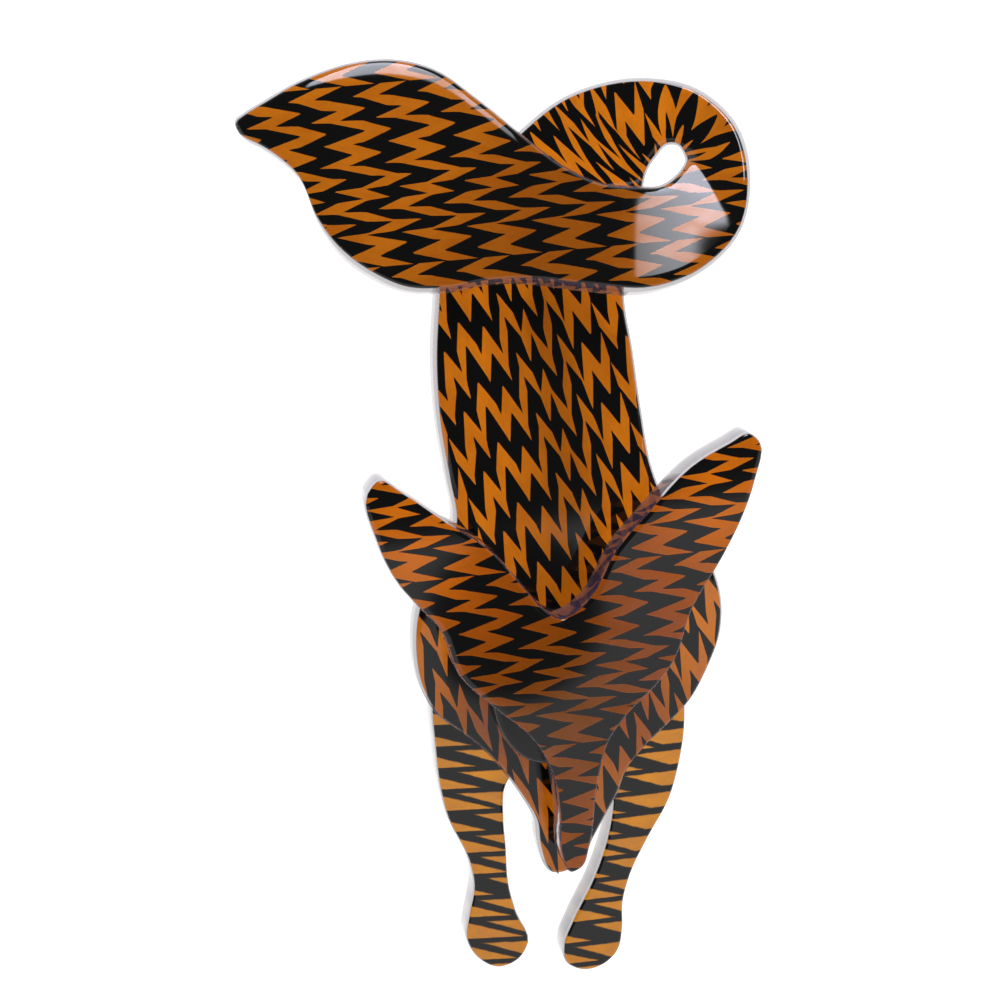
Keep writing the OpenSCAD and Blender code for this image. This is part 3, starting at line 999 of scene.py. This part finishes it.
def patterned_sheet(name, margin, rounding, marks, amber, low_amber=None, share=AMBER_GLOW):
    """Glossy front of the sheet: black with amber marks that light passes through, and a clear margin."""
    material, maker = new_material("patterned_" + name)
    tone = colours()
    ink, streak = print_marks(maker, marks)
    edge = maker.add("ShaderNodeAttribute", {"attribute_name": "edge"})["Fac"]
    turned = 1 - margin / rounding
    bare = maker.fade(edge, turned - MARGIN_FADE, turned + MARGIN_FADE)
    ground = maker.surface(
        Base_Color=maker.mix(bare, rgb(tone.black), rgb(tone.clear)),
        Roughness=FRONT_ROUGHNESS, IOR=FRONT_IOR, Alpha=1 - bare * (1 - CLEAR_COVER))
    skin = maker.surface(
        Base_Color=maker.mix(streak, rgb(tone.amber_deep), rgb(tone.amber_light)),
        Roughness=FRONT_ROUGHNESS, IOR=FRONT_IOR,
        Coat_Weight=1.0, Coat_Roughness=FRONT_ROUGHNESS, Coat_IOR=AMBER_COAT_IOR)
    glow = maker.add("ShaderNodeBsdfTranslucent", {}, {"Color": rgb(amber)})
    # On the bent sheet the amber passes with height from the body's lighter copy to the tail's darker one:
    # painted shade on the tail
    if low_amber:
        _, _, height = maker.split(maker.add("ShaderNodeTexCoord")["Object"])
        low = maker.add("ShaderNodeBsdfTranslucent", {}, {"Color": rgb(low_amber)})
        glow = maker.blend(maker.fade(height, FRONT_Z, FRONT_Z + TAIL_SHADE_FADE), low, glow)
    marks = maker.blend(share - AMBER_STREAK / 2 + streak * AMBER_STREAK, skin, glow)
    finish_material(maker, maker.blend(ink * (1 - bare), ground, marks))
    return material


def clear_sheet(name, marks, wall_cover):
    """Clear core of the sheet at its walls and its back, with its seams and a painted reflection of any
    marks.
    """
    material, maker = new_material("clear_" + name)
    tone = colours()
    depth = maker.add("ShaderNodeAttribute", {"attribute_name": "depth"})["Fac"]
    seam = maker.add("ShaderNodeFloatCurve", {"points": SEAMS}, {"Value": depth})
    core = rgb(tone.clear)
    if marks:
        # Painted reflection of the print in the wall: warmer under the amber marks
        core = maker.mix(print_marks(maker, marks)[0], core, rgb(tone.clear_print_reflection))
    core = maker.mix(maker.fade(depth, DEEP_FROM, DEEP_TO), core, rgb(tone.clear_deep))
    hidden = 1 - maker.fade(depth, BACK_FROM, BACK_TO)
    cover = BACK_COVER + hidden * (wall_cover - BACK_COVER)
    shader = maker.surface(
        Base_Color=maker.mix(seam, core, rgb(tone.seam)),
        Roughness=CLEAR_ROUGHNESS, IOR=CLEAR_IOR, Alpha=cover + seam * (SEAM_COVER - cover),
        Coat_Weight=1.0, Coat_Roughness=CLEAR_ROUGHNESS, Coat_IOR=CLEAR_COAT_IOR)
    finish_material(maker, shader)
    return material


def black_sheet():
    material, maker = new_material("black_sheet")
    shader = maker.surface(Base_Color=rgb(colours().black), Roughness=BLACK_ROUGHNESS, IOR=FRONT_IOR)
    finish_material(maker, shader)
    return material


def brass():
    material, maker = new_material("brass")
    point = maker.add("ShaderNodeTexCoord")["Object"]
    grain = maker.add("ShaderNodeTexNoise", {}, {"Vector": point, **GRAIN})
    rough = BRASS_ROUGHNESS + grain * GRAIN_ROUGHNESS
    bump = maker.add(
        "ShaderNodeBump", {}, {"Strength": GRAIN_STRENGTH, "Distance": GRAIN_DEPTH, "Height": grain})
    shader = maker.surface(Base_Color=rgb(colours().brass), Metallic=1.0, Roughness=rough, Normal=bump)
    finish_material(maker, shader)
    return material


# Stage

# Distance in metres from the middle of the floor to each of its sides
FLOOR_REACH = 6.0


class BROOCH_OT_stage(bpy.types.Operator):
    """Make the camera, the floor and the lights"""

    bl_idname = "brooch.stage"
    bl_label = "Stage"

    def execute(self, context):
        add_camera()
        add_floor()
        add_lights()
        return {"FINISHED"}


def add_camera():
    data = bpy.data.cameras.new("camera")
    data.lens = LENS
    data.sensor_width = SENSOR_WIDTH
    data.clip_start, data.clip_end = CLIP_START, CLIP_END
    camera = add_object("camera", data)
    turn = Matrix((CAMERA_RIGHT, CAMERA_UP, LOOK_BACK)).transposed()
    camera.matrix_world = Matrix.Translation(CAMERA_PLACE) @ turn.to_4x4()
    bpy.context.scene.camera = camera


def add_floor():
    mesh = bpy.data.meshes.new("floor")
    far = FLOOR_REACH
    mesh.from_pydata([(-far, -far, 0), (far, -far, 0), (far, far, 0), (-far, far, 0)], [], [(0, 1, 2, 3)])
    floor = add_object("floor", mesh)
    material, maker = new_material("floor")
    shader = maker.surface(
        Base_Color=rgb(colours().floor), Roughness=FLOOR_ROUGHNESS,
        Emission_Color=(1, 1, 1, 1), Emission_Strength=1.0)
    finish_material(maker, shader)
    mesh.materials.append(material)


# Studio round the brooch: strength of its light by direction, and the tint of the room and the window
FLANK_LIGHT = 1.0
OVERHEAD_LIGHT = 0.05
CARD_LIGHT = 0.8
WINDOW_LIGHT = 12.0
ROOM_TINT = (1.0, 0.98, 0.98)
WINDOW_TINT = (0.84, 0.87, 1.0)
# How steeply a direction rises where the walls begin to pass into the ceiling, and where they have
CEILING_FROM, CEILING_TO = 0.20, 0.42
# Places overhead are given across and along, for each step up. No direction counts as flatter than this.
LEAST_UP = 0.02
# Dark round thing that is seen in the head: its middle, and where its edge begins and ends
DISC_ACROSS, DISC_ALONG = 0.203, -0.297
DISC_FROM, DISC_TO = 0.037, 0.043
# Card that is seen in the flat faces: where it begins and ends each way, half the width of its soft edge,
# and how its upper edge slopes
CARD_ALONG = (-6.0, -0.257, 0.003)
CARD_ACROSS = (-3.0, 3.0, 0.02)
CARD_SLOPE = 0.1
# Window that is seen where the tail bends over at its right, in the same way
WINDOW_ACROSS = (-0.06, 0.36, 0.012)
WINDOW_ALONG = (0.56, 2.6, 0.015)
# Brightness of the window at one place, how it grows to the window's own left and top, and its most
BRIGHT = 0.62
BRIGHT_ACROSS, BRIGHT_ALONG = 0.2, 0.6
BRIGHT_GROWTH = 1.5
BRIGHT_MOST = 1.1


def add_lights():
    """Pale walls, a dark ceiling, a card over the brooch's feet and a window over its tail."""
    world = bpy.data.worlds.new("studio")
    bpy.context.scene.world = world
    world.use_nodes = True
    world.node_tree.nodes.clear()
    maker = Maker(world.node_tree)
    x, y, z = maker.split(maker.add("ShaderNodeTexCoord")["Generated"])
    above = maker.maths("MAXIMUM", z, LEAST_UP)
    across, along = x / above, y / above

    def band(value, low, high, soft):
        return maker.fade(value, low - soft, low + soft) * (1 - maker.fade(value, high - soft, high + soft))

    beside = across - DISC_ACROSS
    offset = maker.add("ShaderNodeCombineXYZ", {}, {"X": beside, "Y": along - DISC_ALONG})
    distance = maker.maths("LENGTH", offset)
    card = band(along - beside * CARD_SLOPE, *CARD_ALONG) * band(across, *CARD_ACROSS)
    card = card * maker.fade(distance, DISC_FROM, DISC_TO)
    level = BRIGHT + (BRIGHT_ACROSS - across) * BRIGHT_GROWTH + (along - BRIGHT_ALONG) * BRIGHT_GROWTH
    level = maker.maths("MINIMUM", level, BRIGHT_MOST)
    window = band(across, *WINDOW_ACROSS) * band(along, *WINDOW_ALONG) * level
    walls = 1 - maker.fade(z, CEILING_FROM, CEILING_TO)
    strength = OVERHEAD_LIGHT + walls * (FLANK_LIGHT - OVERHEAD_LIGHT) + card * CARD_LIGHT
    strength = strength + window * WINDOW_LIGHT
    tint = maker.mix(window, rgb(ROOM_TINT), rgb(WINDOW_TINT))
    light = maker.add("ShaderNodeBackground", {}, {"Color": tint, "Strength": strength})
    end = world.node_tree.nodes.new("ShaderNodeOutputWorld")
    world.node_tree.links.new(light.socket, end.inputs["Surface"])
    bpy.context.scene.view_settings.view_transform = "Standard"


# Pieces


class BROOCH_OT_body_tail(bpy.types.Operator):
    """Make the chest, body and tail from one bent sheet"""

    bl_idname = "brooch.body_tail"
    bl_label = "Body and tail"

    def execute(self, context):
        size = sizes()
        rows = strip_rows()
        rails = cloud(
            "body_tail_rows",
            inner=[row[:3] for row, _, _, _ in rows],
            outer=[row[3:] for row, _, _, _ in rows],
            end=[(inset, closing, 0) for _, inset, closing, _ in rows],
            print_inner=[(*strip_place(flat_end(row, 0), k), 0) for row, _, _, k in rows],
            print_outer=[(*strip_place(flat_end(row, 1), k), 0) for row, _, _, k in rows])
        points = section_points()
        section = cloud(
            "sheet_section",
            core=[(share, height, 0) for share, height, _, _ in points],
            away=[(across, up, 0) for _, _, across, up in points])
        tone = colours()
        # The tail gets the darker amber and the body the lighter one: painted shade on the tail
        sheet = patterned_sheet("bent", size.margin, size.sheet_round, zigzag, tone.amber, tone.amber_body)
        values = {
            "Section": section, "Thickness": size.sheet_t, "Edge radius": size.sheet_round,
            "Material": sheet,
            "Clear": clear_sheet("bent", None, WALL_COVER),
            "Front depth": front_share(size.sheet_round, size.sheet_t),
        }
        piece = bake(rails, strip_tree(), values, "body_and_tail")
        drop(rails, section)
        face_outwards(piece)
        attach(piece, "root")
        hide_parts("body_tail")
        return {"FINISHED"}


class BROOCH_OT_plates(bpy.types.Operator):
    """Make the head and the legs, which are cut from flat patterned sheet"""

    bl_idname = "brooch.plates"
    bl_label = "Head and legs"

    def execute(self, context):
        low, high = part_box("legs")
        middle = (low.x + high.x) / 2
        size, tone = sizes(), colours()

        def leg(place):
            return "leg_left" if place.x < middle else "leg_right"

        # The legs' walls get a painted reflection of their wedges
        for node, name, zone, marks, reflected_marks, amber, share in (
            ("head", "fox_head", "head", zigzag, None, tone.amber_head, HEAD_GLOW),
            ("legs", "fox_legs", leg, wedges, wedges, tone.amber_legs, AMBER_GLOW),
        ):
            sheet = patterned_sheet(node, size.plate_margin, size.front_round, marks, amber, share=share)
            piece = cut_plate(node, name, sheet, clear_sheet(node, reflected_marks, PLATE_COVER))
            lay_print(piece, zone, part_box(node)[1].z)
            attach(piece, "root")
            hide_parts(node)
        return {"FINISHED"}


class BROOCH_OT_spacer(bpy.types.Operator):
    """Make the black pad under the head"""

    bl_idname = "brooch.spacer"
    bl_label = "Spacer"

    def execute(self, context):
        black = black_sheet()
        piece = cut_plate("head_spacer", "spacer_pad", black, black)
        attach(piece, "root")
        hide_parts("head_spacer")
        return {"FINISHED"}


class BROOCH_OT_pin_back(bpy.types.Operator):
    """Give the metal pin back its finish"""

    bl_idname = "brooch.pin_back"
    bl_label = "Pin back"

    def execute(self, context):
        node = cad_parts["pin_back"]
        node.data.materials.clear()
        node.data.materials.append(brass())
        return {"FINISHED"}


OPERATORS = [
    BROOCH_OT_stage, BROOCH_OT_body_tail, BROOCH_OT_plates, BROOCH_OT_spacer, BROOCH_OT_pin_back,
]


class BROOCH_PT_panel(bpy.types.Panel):
    """Lists the brooch's operators, sizes and colours"""

    bl_label = "Fox brooch"
    bl_space_type = "VIEW_3D"
    bl_region_type = "UI"
    bl_category = "Fox brooch"

    def draw(self, context):
        for operator in OPERATORS:
            self.layout.operator(operator.bl_idname)
        for group in (context.scene.brooch_sizes, context.scene.brooch_colours):
            for name in group.__annotations__:
                self.layout.prop(group, name)


CLASSES = [BroochSizes, BroochColours, *OPERATORS, BROOCH_PT_panel]


def register():
    for item in CLASSES:
        bpy.utils.register_class(item)
    bpy.types.Scene.brooch_sizes = PointerProperty(type=BroochSizes)
    bpy.types.Scene.brooch_colours = PointerProperty(type=BroochColours)


def unregister():
    del bpy.types.Scene.brooch_colours
    del bpy.types.Scene.brooch_sizes
    for item in reversed(CLASSES):
        bpy.utils.unregister_class(item)


def main():
    """Makes the whole brooch."""
    register()
    bpy.ops.brooch.stage()
    bpy.ops.brooch.body_tail()
    bpy.ops.brooch.plates()
    bpy.ops.brooch.spacer()
    bpy.ops.brooch.pin_back()


if __name__ == "__main__":
    main()
